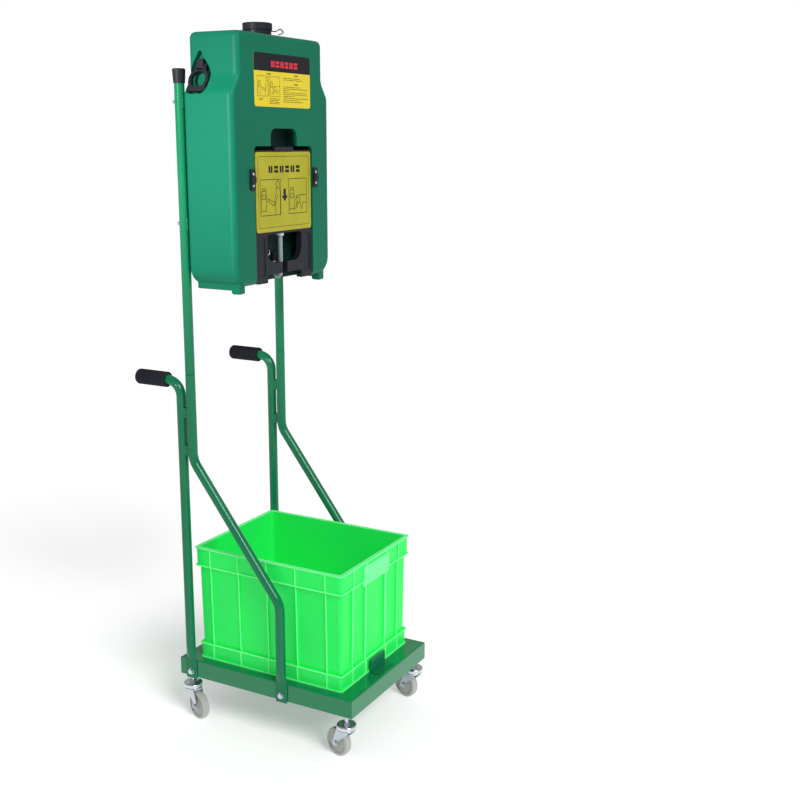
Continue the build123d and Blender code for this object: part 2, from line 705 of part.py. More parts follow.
# ---- side handles --------------------------------------------------------------------
def handle_lugs():
    """Posts in the side pockets, each with the pin that its ring swings on."""
    lugs = []
    z = TANK_Z + HANDLE_PIVOT_Z
    for side in (-1, 1):
        wall = side * (TANK_UPPER_HALF - HANDLE_POCKET_DEPTH)
        low_x, high_x = sorted((wall, side * (TANK_UPPER_HALF + 1)))
        lug = box(low_x, high_x, HANDLE_RING_Y - 9, HANDLE_RING_Y + 9, z - 6, z + 16)
        lug = fillet(lug.edges().filter_by(Axis.X).group_by(Axis.Z)[-1], 7.0)
        x = side * LUG_X
        lug += rod(3.0, (x, HANDLE_RING_Y - 17, z), (x, HANDLE_RING_Y + 17, z))
        lugs.append(lug)
    return group(lugs)


def side_handle(side):
    """D-shaped carrying ring hung from its lug."""
    pivot_z = TANK_Z + HANDLE_PIVOT_Z
    x = side * LUG_X
    plane = Plane(origin=(x - side * 3.5, 0, 0), x_dir=(0, side, 0), z_dir=(side, 0, 0))
    y = side * HANDLE_RING_Y
    centre = pivot_z - 36
    outer = Pos(y, centre) * Circle(29.0)
    outer += Pos(y, centre - 10) * RectangleRounded(50, 38, 8)
    outer += Pos(y, pivot_z - 8) * RectangleRounded(34, 24, 5)
    hole = Pos(y, centre) * Circle(21.0)
    hole = hole & (Pos(y, centre + 3) * Rectangle(60, 36))
    slot = Pos(y, pivot_z) * Rectangle(19.4, 22)
    body = extrude(plane * (outer - hole - slot), 8.0)
    body -= rod(3.0 + CLEAR, (x, HANDLE_RING_Y - 20, pivot_z), (x, HANDLE_RING_Y + 20, pivot_z))
    pivot = Axis((x, HANDLE_RING_Y, pivot_z), (0, 1, 0))
    return body.rotate(pivot, -side * HANDLE_LEAN)


# ---- arm -----------------------------------------------------------------------------
def arm_plane(depth):
    """A plane parallel to the tank's front, at a depth behind it, facing the front."""
    return Plane(origin=(0, TANK_FRONT + depth, TANK_Z), x_dir=(1, 0, 0), z_dir=(0, -1, 0))


def arm_frame():
    """Black moulded frame of the arm: a shallow tray with a window and two legs."""
    back = ARM_FACE + ARM_THICKNESS
    outline = Pos(0, ARM_TOP / 2) * RectangleRounded(2 * ARM_HALF, ARM_TOP, 10.0)
    body = extrude(arm_plane(back) * outline, ARM_THICKNESS)
    lip = Pos(0, PLATE_HIGH + 6.5) * RectangleRounded(84, 12, 4.0)
    body += extrude(arm_plane(ARM_FACE + 5) * lip, ARM_FACE + 5)
    hollow = Pos(0, (ARM_TOP + PLATE_LOW) / 2) * RectangleRounded(
        2 * (ARM_HALF - 4), ARM_TOP - PLATE_LOW - 8, 7.0)
    body -= extrude(arm_plane(back + 1) * hollow, ARM_THICKNESS + 1 - ARM_SKIN)
    window = Pos(0, (WINDOW_LOW + WINDOW_HIGH) / 2) * Rectangle(
        2 * WINDOW_HALF, WINDOW_HIGH - WINDOW_LOW)
    window = fillet(window.vertices().group_by(Axis.Y)[0], 34.0)
    window = fillet(window.vertices().group_by(Axis.Y)[-1], 8.0)
    body -= extrude(arm_plane(back + 1) * window, ARM_THICKNESS + 2)
    channel = Pos(0, PLATE_LOW) * Rectangle(24.0, 24.0)
    body -= extrude(arm_plane(back + 1) * channel, ARM_THICKNESS + 1 - ARM_SKIN)
    gap = Pos(0, WINDOW_LOW - 15) * Rectangle(22.0, 60.0)
    body -= extrude(arm_plane(back + 1) * gap, ARM_THICKNESS + 2)
    below = Pos(0, BAR_LOW / 2 - 1) * Rectangle(2 * WINDOW_HALF, BAR_LOW + 2)
    body -= extrude(arm_plane(back + 1) * below, ARM_THICKNESS + 2)
    for side in (-1, 1):
        groove = Pos(side * 102, 66) * RectangleRounded(30, 96, 6.0)
        body -= extrude(arm_plane(ARM_FACE + 1.5) * groove, 3.0)
    y, z = TANK_FRONT + HINGE_Y, TANK_Z + HINGE_Z
    return body - rod(PIN_R + CLEAR, (-ARM_HALF - 1, y, z), (ARM_HALF + 1, y, z))


def arm_plate():
    """Yellow sign plate on the arm's face."""
    face = Pos(0, (PLATE_LOW + PLATE_HIGH) / 2) * RectangleRounded(
        2 * PLATE_HALF, PLATE_HIGH - PLATE_LOW, 8.0)
    return extrude(arm_plane(ARM_FACE) * face, 1.5)


def arm_hinge_pins():
    """Stub pins from the tank into the arm's legs."""
    pins = []
    y, z = TANK_FRONT + HINGE_Y, TANK_Z + HINGE_Z
    for side in (-1, 1):
        pins.append(rod(PIN_R, (side * (WINDOW_HALF + 10), y, z), (side * (RECESS_HALF + 9), y, z)))
    return group(pins)


def catch(side):
    """Snap catch beside the arm, with a rounded thumb bulge."""
    z = CATCH_Z
    x = side * CATCH_X
    plate = Pos(x, z) * RectangleRounded(20.0, 2 * CATCH_HALF_HEIGHT, 4.0)
    body = extrude(arm_plane(0) * plate, 4.0)
    bulge = Pos(side * CATCH_X, z) * RectangleRounded(18.0, 17.0, 5.0)
    body += extrude(arm_plane(0) * bulge, 7.0)
    for sx, sz in catch_screw_places():
        body -= rod(2.0, (sx, TANK_FRONT - 9, sz), (sx, TANK_FRONT + 1, sz))
    return body


def catch_screws():
    """Pan-head screws of the catches."""
    screws = []
    for x, z in catch_screw_places():
        face = TANK_FRONT - 4.0
        screw = rod(1.8, (x, face, z), (x, TANK_FRONT + 4.5, z))
        head = rod(3.6, (x, face - 2.0, z), (x, face, z))
        head = fillet(head.edges().group_by(Axis.Y)[0], 1.2)
        screws.append(screw + head)
    return group(screws)


# ---- water way -----------------------------------------------------------------------
def outlet_fitting():
    """Bulkhead elbow from the tank down to the hose."""
    wall = TANK_FRONT + RECESS_DEPTH
    y = TANK_FRONT + HOSE_BACK_Y
    z = TANK_Z + OUTLET_Z
    body = ring(9.0, 5.0, (0, wall, z), (0, wall + TANK_WALL + 8, z))
    body += hexagon(20.0, (0, wall - 4, z), (0, wall, z)) - rod(5.0, (0, wall - 6, z), (0, wall + 1, z))
    elbow = rod(7.5, (0, y, z - 12), (0, y, z + 9)) + rod(7.0, (0, y, z), (0, wall - 4, z))
    elbow -= rod(HOSE_BORE, (0, y, z - 13), (0, y, z))
    elbow -= rod(5.0, (0, y, z), (0, wall, z))
    return body + elbow


def feed_hose():
    """Hose from the tank's outlet, folded under the arm's bar and up to the spray pipe."""
    back, front = TANK_FRONT + HOSE_BACK_Y, TANK_FRONT + HOSE_FRONT_Y
    turn = (back - front) / 2
    low = TANK_Z + HOSE_TURN_Z - turn
    points = [
        (0, back, TANK_Z + OUTLET_Z - 12),
        (0, back, low),
        (0, front, low),
        (0, front, TANK_Z + HOSE_TOP_Z),
    ]
    return swept(HOSE_R, HOSE_BORE, points, turn - 0.02)


def hose_collar():
    """White union nut between the hose and the spray pipe."""
    y = TANK_FRONT + HOSE_FRONT_Y
    low, high = TANK_Z + HOSE_TOP_Z, TANK_Z + HOSE_TOP_Z + 12
    return ring(9.5, HOSE_BORE, (0, y, low), (0, y, high))


def spray_pipe():
    """Tee pipe on the arm that feeds both spray heads."""
    y = TANK_FRONT + HOSE_FRONT_Y
    low = TANK_Z + HOSE_TOP_Z + 12
    z = TANK_Z + NOZZLE_Z
    half = NOZZLE_SPACING / 2
    pipe = rod(7.0, (0, y, low), (0, y, z)) + rod(7.0, (-half - 12, y, z), (half + 12, y, z))
    pipe -= rod(5.0, (0, y, low - 1), (0, y, z)) + rod(5.0, (-half, y, z), (half, y, z))
    for side in (-1, 1):
        x = side * half
        pipe += rod(9.0, (x, y, z), (x, y + 10, z))
        pipe -= rod(5.0, (x, y, z), (x, y + 11, z))
    saddle = box(-11, 11, TANK_FRONT + ARM_FACE + ARM_SKIN, y, z - 24, z - 14)
    pipe += saddle - rod(6.0, (0, y, z - 25), (0, y, z - 13))
    return pipe


def spray_head(side):
    """Domed spray head with a ring of jets."""
    y = TANK_FRONT + HOSE_FRONT_Y + 10
    x, z = side * NOZZLE_SPACING / 2, TANK_Z + NOZZLE_Z
    head = rod(19.0, (x, y, z), (x, y + 14, z))
    head = fillet(head.edges().group_by(Axis.Y)[-1], 6.0)
    head -= rod(15.0, (x, y + 3, z), (x, y + 11, z))
    head -= rod(5.0, (x, y - 1, z), (x, y + 4, z))
    for index in range(8):
        angle = 2 * pi * index / 8
        jet_x, jet_z = x + 9 * cos(angle), z + 9 * sin(angle)
        head -= rod(1.2, (jet_x, y + 10, jet_z), (jet_x, y + 15, jet_z))
    return head


def drain_plug():
    """Drain plug in the recess wall, with its pull ring."""
    wall = TANK_FRONT + RECESS_DEPTH
    z = TANK_Z + DRAIN_Z
    plug = rod(7.0, (DRAIN_X, wall, z), (DRAIN_X, wall + TANK_WALL + 1, z))
    plug += rod(11.0, (DRAIN_X, wall - 5, z), (DRAIN_X, wall, z))
    plug += box(DRAIN_X - 2, DRAIN_X + 2, wall - 13, wall - 5, z - 5, z + 5)
    return plug - rod(2.0, (DRAIN_X - 3, wall - 10, z + 1.5), (DRAIN_X + 3, wall - 10, z + 1.5))


def drain_ring():
    """Pull ring of the drain plug."""
    wall = TANK_FRONT + RECESS_DEPTH
    centre = Vector(DRAIN_X, wall - 10, TANK_Z + DRAIN_Z + 1.5 - 8.5)
    return Plane(origin=centre, z_dir=(0, 1, 0)) * Torus(8.5, 1.3)


NODES = {
    "platform_deck": platform_deck,
    "deck_stiffeners": deck_stiffeners,
    "caster_plates": caster_plates,
    "basket_bracket": basket_bracket,
    "basket": basket,
    "mast_end_caps": mast_end_caps,
    "tube_spacers": tube_spacers,
    "foot_bolts": foot_bolts,
    "foot_nuts": foot_nuts,
    "caster_stems": caster_stems,
    "caster_nuts": caster_nuts,
    "caster_top_races": caster_top_races,
    "caster_balls": caster_balls,
    "cross_bars": cross_bars,
    "bar_bolts": bar_bolts,
    "tank_bolts": tank_bolts,
    "tank_shell": tank_shell,
    "upper_label": upper_label,
    "fill_cap": fill_cap,
    "cap_gasket": cap_gasket,
    "cap_tether": cap_tether,
    "handle_lugs": handle_lugs,
    "arm_frame": arm_frame,
    "arm_plate": arm_plate,
    "arm_hinge_pins": arm_hinge_pins,
    "catch_screws": catch_screws,
    "outlet_fitting": outlet_fitting,
    "feed_hose": feed_hose,
    "hose_collar": hose_collar,
    "spray_pipe": spray_pipe,
    "drain_plug": drain_plug,
    "drain_ring": drain_ring,
}
SIDED = {
    "handle_tube": handle_tube,
    "mast_lower": mast_lower,
    "mast_upper": mast_upper,
    "grip": grip,
    "side_handle": side_handle,
    "catch": catch,
    "spray_head": spray_head,
}
CASTER_PARTS = {"fork": caster_fork, "wheel": caster_wheel, "axle": caster_axle}


def write(name, shape):
    """Write one node to its own STEP file."""
    export_step(shape, f"parts/{name}.step")


def main():
    os.makedirs("parts", exist_ok=True)
    for name, make in NODES.items():
        write(name, make())
    for name, make in SIDED.items():
        write(f"{name}_left", make(-1))
        write(f"{name}_right", make(1))
    for caster in CASTERS:
        for part, make in CASTER_PARTS.items():
            write(f"{caster}_{part}", make(caster))


main()
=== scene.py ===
"""Looks for the mobile eyewash station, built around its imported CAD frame. Metres, +Z up, -Y front."""

import json
from math import cos, pi, radians, sin

import bpy
from mathutils import Matrix, Vector


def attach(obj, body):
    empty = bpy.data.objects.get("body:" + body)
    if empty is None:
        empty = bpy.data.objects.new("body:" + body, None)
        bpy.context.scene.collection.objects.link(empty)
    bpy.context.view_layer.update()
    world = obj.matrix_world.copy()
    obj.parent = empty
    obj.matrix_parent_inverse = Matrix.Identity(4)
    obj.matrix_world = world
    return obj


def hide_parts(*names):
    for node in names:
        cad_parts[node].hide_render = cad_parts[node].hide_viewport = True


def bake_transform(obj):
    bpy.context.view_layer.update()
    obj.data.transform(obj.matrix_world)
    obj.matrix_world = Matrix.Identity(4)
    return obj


MM = 0.001

# ---- camera --------------------------------------------------------------------------
EYE = (-2.4513, -1.6645, 1.5357)
YAW, PITCH, ROLL = 61.71, 12.73, 0.21      # degrees: towards +X from +Y, down, clockwise
LENS = 51.44
SENSOR = 36.0

# ---- lights --------------------------------------------------------------------------
SKY_LIGHT = 0.42                           # brightness of the white surroundings as a light
SUN_FROM = (-0.42, -0.78, 0.75)
SUN_POWER = 2.0
SUN_ANGLE = 24.0                           # degrees, for a soft edge to the shadows
SIDE_LAMP = (-3.2, 0.35, 2.1)              # lamp that lights the tank's left side
SIDE_AIM = (-0.21, 0.06, 1.50)
SIDE_POWER = 700.0
SIDE_CONE = 17.0                           # degrees
SIDE_BLEND = 0.8
SIDE_RADIUS = 0.3
FLOOR_HALF = 40.0
FLOOR_GLOW = 0.3

# ---- tank, as in the CAD ----------------------------------------------------------------
TANK_FRONT = -11.5 * MM
TANK_Z = 1187.0 * MM
RECESS_HALF = 129.0 * MM
RECESS_TOP = TANK_Z + 380.0 * MM           # top of the finger pocket
PLATE_FACE = TANK_FRONT + 1.5 * MM         # front of the yellow plate on the arm
LABEL_FACE = TANK_FRONT - 0.5 * MM

# ---- hose --------------------------------------------------------------------------------
HOSE_R = 5.9 * MM
HOSE_FOLD_R = 4.2 * MM                     # half-width where the hose is folded
HOSE_SIDES = 24

# ---- basket, as in the CAD ---------------------------------------------------------------
BASKET_HALF_X = 180.0 * MM
BASKET_HALF_Y = 229.0 * MM
BASKET_MID_Y = -51.0 * MM
RIM_Z = 485.3 * MM
BAND_LOW_Z = 214.3 * MM                    # top of the foot band
BAND_HIGH_Z = 433.3 * MM                   # underside of the rim band
BASKET_DRAFT = 0.0157                      # how much each side leans, per unit of height
LIP_DEPTH = (2.6 * MM, 1.4 * MM)           # the painted highlight fades in between these depths behind a lip
RIB_DEPTH = (5.5 * MM, 4.0 * MM)           # and between these for the ribs between the bands

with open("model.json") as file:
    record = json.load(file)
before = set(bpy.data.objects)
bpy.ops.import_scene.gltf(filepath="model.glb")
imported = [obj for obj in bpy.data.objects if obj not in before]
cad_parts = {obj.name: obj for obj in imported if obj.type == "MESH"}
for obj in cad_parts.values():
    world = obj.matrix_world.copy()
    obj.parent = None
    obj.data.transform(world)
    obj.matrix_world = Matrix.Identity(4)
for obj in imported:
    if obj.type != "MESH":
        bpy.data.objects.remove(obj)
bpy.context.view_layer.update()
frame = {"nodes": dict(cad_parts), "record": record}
nodes = frame["nodes"]


# ---- materials -----------------------------------------------------------------------
def linear(red, green, blue):
    """A colour given as 0-255 screen values, as linear light."""
    def one(value):
        value /= 255.0
        return value / 12.92 if value <= 0.04045 else ((value + 0.055) / 1.055) ** 2.4
    return (one(red), one(green), one(blue), 1.0)


def finish_material(name, rgb, rough=0.4, metal=0.0, mottle=0.06, mottle_size=60.0,
                    grain=0.03, grain_size=900.0, rough_spread=0.08, coat=0.0,
                    subsurface=0.0, clear=0.0, specular=0.22, glow=0.0):
    """A surface with uneven colour, uneven gloss and a fine grain."""
    mat = bpy.data.materials.new(name)
    mat.use_nodes = True
    tree = mat.node_tree
    shader = tree.nodes["Principled BSDF"]
    shader.inputs["Metallic"].default_value = metal
    shader.inputs["Specular IOR Level"].default_value = 0.5 if metal else specular
    shader.inputs["Coat Weight"].default_value = coat
    shader.inputs["Coat Roughness"].default_value = 0.12
    shader.inputs["Subsurface Weight"].default_value = subsurface
    shader.inputs["Subsurface Radius"].default_value = (0.01, 0.02, 0.01)
    shader.inputs["Transmission Weight"].default_value = clear
    # glow makes the surface emit its own colour; where it is above 0 this is painted light
    shader.inputs["Emission Color"].default_value = linear(*rgb)
    shader.inputs["Emission Strength"].default_value = glow
    place = tree.nodes.new("ShaderNodeTexCoord")

    def noise(scale, detail):
        node = tree.nodes.new("ShaderNodeTexNoise")
        node.inputs["Scale"].default_value = scale
        node.inputs["Detail"].default_value = detail
        tree.links.new(place.outputs["Object"], node.inputs["Vector"])
        return node

    patches = noise(mottle_size * 0.2, 4.0)
    ramp = tree.nodes.new("ShaderNodeValToRGB")
    low, high = ramp.color_ramp.elements
    low.position, high.position = 0.3, 0.7
    base = linear(*rgb)
    low.color = (*[c * (1 - mottle) for c in base[:3]], 1.0)
    high.color = (*[min(1.0, c * (1 + mottle)) for c in base[:3]], 1.0)
    tree.links.new(patches.outputs["Fac"], ramp.inputs["Fac"])
    tree.links.new(ramp.outputs["Color"], shader.inputs["Base Color"])

    spread = tree.nodes.new("ShaderNodeMapRange")
    spread.inputs["To Min"].default_value = max(0.02, rough - rough_spread)
    spread.inputs["To Max"].default_value = min(1.0, rough + rough_spread)
    tree.links.new(noise(mottle_size, 3.0).outputs["Fac"], spread.inputs["Value"])
    tree.links.new(spread.outputs["Result"], shader.inputs["Roughness"])

    bump = tree.nodes.new("ShaderNodeBump")
    bump.inputs["Strength"].default_value = grain * 4
    bump.inputs["Distance"].default_value = 0.0004
    tree.links.new(noise(grain_size, 2.0).outputs["Fac"], bump.inputs["Height"])
    tree.links.new(bump.outputs["Normal"], shader.inputs["Normal"])
    return mat


STEEL_GREEN = finish_material("steel_green", (10, 112, 74), rough=0.16, coat=0.12, grain=0.012,
                              mottle=0.05, mottle_size=25, grain_size=350, rough_spread=0.05)
DECK_GREEN = finish_material("deck_green", (6, 120, 74), rough=0.1, coat=0.6, grain=0.01,
                             mottle=0.05, mottle_size=25, grain_size=350, rough_spread=0.04)
TANK_GREEN = finish_material("tank_green", (8, 104, 78), rough=0.42, specular=0.12, grain=0.06,
                             grain_size=1400, mottle=0.07, mottle_size=14)
# The basket's glow is painted light: the plastic emits some of its own green though it is no lamp.
BASKET_GREEN = finish_material("basket_green", (34, 228, 92), rough=0.36, grain=0.03,
                               mottle=0.07, mottle_size=18, subsurface=0.2, glow=0.12)
BLACK_PLASTIC = finish_material("black_plastic", (24, 27, 36), rough=0.45, grain=0.06,
                                grain_size=1600, mottle=0.12)
BLACK_FOAM = finish_material("black_foam", (27, 30, 38), rough=0.75, grain=0.25, grain_size=1100,
                             mottle=0.15)
ZINC = finish_material("zinc", (196, 202, 212), rough=0.28, metal=1.0, mottle=0.10,
                       mottle_size=120, rough_spread=0.12)
CHROME = finish_material("chrome", (215, 218, 222), rough=0.10, metal=1.0, mottle=0.04,
                         rough_spread=0.05, grain=0.005)
WHEEL_WHITE = finish_material("wheel_white", (172, 174, 170), rough=0.38, mottle=0.06,
                              mottle_size=90, subsurface=0.1)
LABEL_YELLOW = finish_material("label_yellow", (218, 198, 44), rough=0.25, coat=0.3, mottle=0.03)
PLATE_YELLOW = finish_material("plate_yellow", (166, 160, 36), rough=0.42, mottle=0.10,
                               mottle_size=70, grain=0.05)
INK = finish_material("ink", (16, 18, 26), rough=0.4, mottle=0.08)
RED_INK = finish_material("red_ink", (214, 44, 62), rough=0.35, mottle=0.05)
HOSE_GREY = finish_material("hose_grey", (150, 162, 166), rough=0.22, mottle=0.06, coat=0.5,
                            subsurface=0.2, clear=0.15)
NUT_WHITE = finish_material("nut_white", (226, 228, 226), rough=0.32, mottle=0.04)
GASKET = finish_material("gasket", (26, 27, 30), rough=0.6, mottle=0.1)


def mask_step(tree, socket, start, end):
    """0 below start and 1 above end, with a smooth change; start may be the larger one."""
    node = tree.nodes.new("ShaderNodeMapRange")
    node.interpolation_type = "SMOOTHSTEP"
    node.inputs["From Min"].default_value = start
    node.inputs["From Max"].default_value = end
    tree.links.new(socket, node.inputs["Value"])
    return node.outputs["Result"]


def combine(tree, operation, a, b):
    """One maths node on two values, each of them a socket or a plain number."""
    node = tree.nodes.new("ShaderNodeMath")
    node.operation = operation
    for index, value in enumerate((a, b)):
        if isinstance(value, float):
            node.inputs[index].default_value = value
        else:
            tree.links.new(value, node.inputs[index])
    return node.outputs[0]


def tint_where(mat, mask, rgb):
    """Mixes a material's colour towards another one, all the way where the mask is 1."""
    tree = mat.node_tree
    shader = tree.nodes["Principled BSDF"]
    colour = shader.inputs["Base Color"].links[0].from_socket
    mix = tree.nodes.new("ShaderNodeMix")
    mix.data_type = "RGBA"
    tree.links.new(mask, mix.inputs["Factor"])
    tree.links.new(colour, mix.inputs["A"])
    mix.inputs["B"].default_value = linear(*rgb)
    tree.links.new(mix.outputs["Result"], shader.inputs["Base Color"])


def object_axes(tree):
    """The three object coordinates as sockets."""
    place = tree.nodes.new("ShaderNodeTexCoord")
    axes = tree.nodes.new("ShaderNodeSeparateXYZ")
    tree.links.new(place.outputs["Object"], axes.inputs[0])
    return axes.outputs["X"], axes.outputs["Y"], axes.outputs["Z"]


def paint_recess_shade(mat):
    """Paints shade into the tank's colour: darkens it inside the arm's recess and the finger pocket,
    where shade falls.
    """
    tree = mat.node_tree
    x, y, z = object_axes(tree)
    reach = RECESS_HALF + 2 * MM
    limits = ((x, -reach, -reach + MM), (x, reach, reach - MM),
              (z, RECESS_TOP + 2 * MM, RECESS_TOP + MM),
              (y, TANK_FRONT + 1 * MM, TANK_FRONT + 14 * MM),
              (y, TANK_FRONT + 52 * MM, TANK_FRONT + 50 * MM))
    inside = 1.0
    for socket, start, end in limits:
        inside = combine(tree, "MULTIPLY", mask_step(tree, socket, start, end), inside)
    # painted shade: the colour inside the recess and the pocket is mixed towards this dark green
    tint_where(mat, inside, (14, 44, 38))


def paint_rib_highlights(mat):
    """Paints highlights on the outermost faces of the basket: its lips, its ribs and the top of its rim
    are lightened.
    """
    tree = mat.node_tree
    x, y, z = object_axes(tree)
    drop = combine(tree, "SUBTRACT", RIM_Z, z)
    inset = combine(tree, "MULTIPLY", drop, BASKET_DRAFT)
    side = combine(tree, "ADD", combine(tree, "ABSOLUTE", x, 0.0), inset)
    away = combine(tree, "ABSOLUTE", combine(tree, "SUBTRACT", y, BASKET_MID_Y), 0.0)
    end = combine(tree, "ADD", away, inset)

    def beyond(depths):
        start, full = depths
        return combine(tree, "MAXIMUM",
                       mask_step(tree, side, BASKET_HALF_X - start, BASKET_HALF_X - full),
                       mask_step(tree, end, BASKET_HALF_Y - start, BASKET_HALF_Y - full))

    middle = combine(tree, "MULTIPLY", mask_step(tree, z, BAND_LOW_Z, BAND_LOW_Z + MM),
                     mask_step(tree, z, BAND_HIGH_Z, BAND_HIGH_Z - MM))
    ribs = combine(tree, "MULTIPLY", middle, beyond(RIB_DEPTH))
    edge = combine(tree, "MAXIMUM", beyond(LIP_DEPTH), ribs)
    edge = combine(tree, "MAXIMUM", edge, mask_step(tree, z, RIM_Z - 1.0 * MM, RIM_Z - 0.5 * MM))
    # painted highlight: these outer faces are mixed towards this light green
    tint_where(mat, edge, (112, 250, 150))


paint_recess_shade(TANK_GREEN)
paint_rib_highlights(BASKET_GREEN)

SLOT_MATERIAL = {
    "steel_green": STEEL_GREEN, "tank_green": TANK_GREEN, "basket_green": BASKET_GREEN,
    "black_plastic": BLACK_PLASTIC, "black_foam": BLACK_FOAM, "zinc": ZINC, "chrome": CHROME,
    "wheel_white": WHEEL_WHITE, "label_yellow": LABEL_YELLOW, "plate_yellow": PLATE_YELLOW,
    "hose_clear": HOSE_GREY, "nut_white": NUT_WHITE, "gasket": GASKET,
}


def dress_frame():
    """Gives every CAD node the material of its slot."""
    for part in frame["record"]["subparts"]:
        node = nodes[part["node"]]
        node.data.materials.clear()
        node.data.materials.append(SLOT_MATERIAL[part["material_slot"]])
    nodes["platform_deck"].data.materials[0] = DECK_GREEN


# ---- making pieces -------------------------------------------------------------------
def mesh_piece(name, vertices, faces, material, body):
    """A new mesh that rides on a body."""
    mesh = bpy.data.meshes.new(name)
    mesh.from_pydata(vertices, [], faces)
    mesh.validate()
    mesh.update()
    piece = bpy.data.objects.new(name, mesh)
    bpy.context.scene.collection.objects.link(piece)
    mesh.materials.append(material)
    if body:
        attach(piece, body)
    return piece


def rounded_box(x0, x1, z0, z1, radius, steps=6):
    """Outline of a rectangle with round corners, anticlockwise seen from the front."""
    corners = ((x1 - radius, z1 - radius, 0), (x0 + radius, z1 - radius, 90),
               (x0 + radius, z0 + radius, 180), (x1 - radius, z0 + radius, 270))
    outline = []
    for x, z, start in corners:
        for step in range(steps + 1):
            angle = radians(start + 90 * step / steps)
            outline.append((x + radius * cos(angle), z + radius * sin(angle)))
    return outline


def disc(x, z, radius, steps=20):
    """Outline of a circle."""
    turn = [2 * pi * step / steps for step in range(steps)]
    return [(x + radius * cos(a), z + radius * sin(a)) for a in turn]


def stroke(points, width):
    """Outlines that draw a line with round joints."""
    shapes = []
    for (x0, z0), (x1, z1) in zip(points, points[1:]):
        run = Vector((x1 - x0, z1 - z0))
        if run.length < 1e-9:
            continue
        side = Vector((-run.y, run.x)).normalized() * (width / 2)
        shapes.append([(x0 - side.x, z0 - side.y), (x1 - side.x, z1 - side.y),
                       (x1 + side.x, z1 + side.y), (x0 + side.x, z0 + side.y)])
    for x, z in points[1:-1]:
        shapes.append(disc(x, z, width / 2, 8))
    return shapes


def printed(name, shapes, face_y, height, material, body):
    """Flat shapes, given in millimetres on the tank's front, raised a little from a face."""
    vertices, faces = [], []
    for outline in shapes:
        first, count = len(vertices), len(outline)
        for y in (face_y - height, face_y):
            vertices += [(x * MM, y, TANK_Z + z * MM) for x, z in outline]
        faces.append([first + i for i in range(count)])
        for i in range(count):
            j = (i + 1) % count
            faces.append([first + j, first + i, first + count + i, first + count + j])
    return mesh_piece(name, vertices, faces, material, body)


def placed(shapes, x0, z0, width, height):
    """Points drawn in a unit square, moved into a frame."""
    return [[(x0 + x * width, z0 + z * height) for x, z in line] for line in shapes]


# ---- pictograms ----------------------------------------------------------------------
def ring_line(x, z, rx, rz, steps=18):
    """A closed oval line in the unit square."""
    turn = [2 * pi * step / steps for step in range(steps + 1)]
    return [(x + rx * cos(a), z + rz * sin(a)) for a in turn]


def unit_lines():
    """The wall unit that both pictograms show, in the unit square."""
    return [
        [(0.07, 0.13), (0.28, 0.13), (0.30, 0.30), (0.30, 0.62), (0.26, 0.68), (0.09, 0.68),
         (0.05, 0.62), (0.05, 0.14)],
        [(0.10, 0.68), (0.10, 0.75), (0.25, 0.75), (0.25, 0.68)],
        [(0.10, 0.46), (0.25, 0.46), (0.25, 0.58), (0.10, 0.58), (0.10, 0.46)],
    ]


def pull_lines():
    """A standing figure who reaches for the unit's arm."""
    return unit_lines() + [
        ring_line(0.86, 0.86, 0.085, 0.10),
        [(0.81, 0.77), (0.78, 0.68), (0.70, 0.38), (0.66, 0.36), (0.40, 0.46), (0.34, 0.42)],
        [(0.34, 0.42), (0.66, 0.26), (0.74, 0.36), (0.74, 0.0)],
        [(0.92, 0.77), (0.98, 0.66), (0.98, 0.0)],
        [(0.86, 0.58), (0.78, 0.40), (0.74, 0.30)],
        [(0.0, 0.10), (0.05, 0.10)],
    ]


def wash_lines():
    """A figure bent over the open arm, with the water rising to the eyes."""
    return unit_lines() + [
        [(0.28, 0.13), (0.46, 0.18), (0.50, 0.26)],
        ring_line(0.50, 0.38, 0.105, 0.085),
        [(0.38, 0.44), (0.46, 0.52), (0.58, 0.50), (0.72, 0.53), (0.86, 0.51), (1.0, 0.53)],
        [(0.60, 0.34), (0.68, 0.20), (0.74, 0.10), (0.77, 0.30), (1.0, 0.30)],
        [(0.40, 0.20), (0.42, 0.28), (0.46, 0.31)],
        [(0.46, 0.20), (0.50, 0.27), (0.54, 0.31)],
        [(0.0, 0.12), (0.05, 0.12)],
    ]


def pictogram(lines, x0, z0, width, height, pen):
    """Outlines of a framed pictogram."""
    border = [(0, 0), (1, 0), (1, 1), (0, 1), (0, 0)]
    shapes = []
    for line in placed([border] + lines, x0, z0, width, height):
        shapes += stroke(line, pen)
    return shapes


def bars(x0, x1, z, thick, lengths, gap):
    """Lines of plain bars that stand in for print."""
    shapes = []
    for index, fraction in enumerate(lengths):
        low = z - index * gap
        x = x0
        end = x0 + (x1 - x0) * fraction
        while x < end - 2:
            dash = min(end - x, 9.0 + 5.0 * ((index * 7 + int(x)) % 4))
            shapes.append(rounded_box(x, x + dash, low, low + thick, thick * 0.45, 2))
            x += dash + 1.8
    return shapes


def blocks(centre, z, size, pitch, count):
    """A row of plain marks that stand in for a title."""
    shapes = []
    for index in range(count):
        x = centre + (index - (count - 1) / 2) * pitch
        half = size / 2
        if index % 2:
            shapes.append(rounded_box(x - half, x + half, z, z + size * 0.42, size * 0.08, 3))
            shapes.append(rounded_box(x - half, x + half, z + size * 0.58, z + size, size * 0.08, 3))
        else:
            shapes.append(rounded_box(x - half, x - size * 0.07, z, z + size, size * 0.08, 3))
            shapes.append(rounded_box(x + size * 0.07, x + half, z, z + size, size * 0.08, 3))
    return shapes


def down_arrow(x, z, width, height):
    """Bold arrow that points down."""
    half, shaft = width / 2, width * 0.2
    neck = z + height * 0.45
    return [[(x - shaft, z + height), (x - shaft, neck), (x + shaft, neck), (x + shaft, z + height)],
            [(x - half, neck), (x, z), (x + half, neck)]]


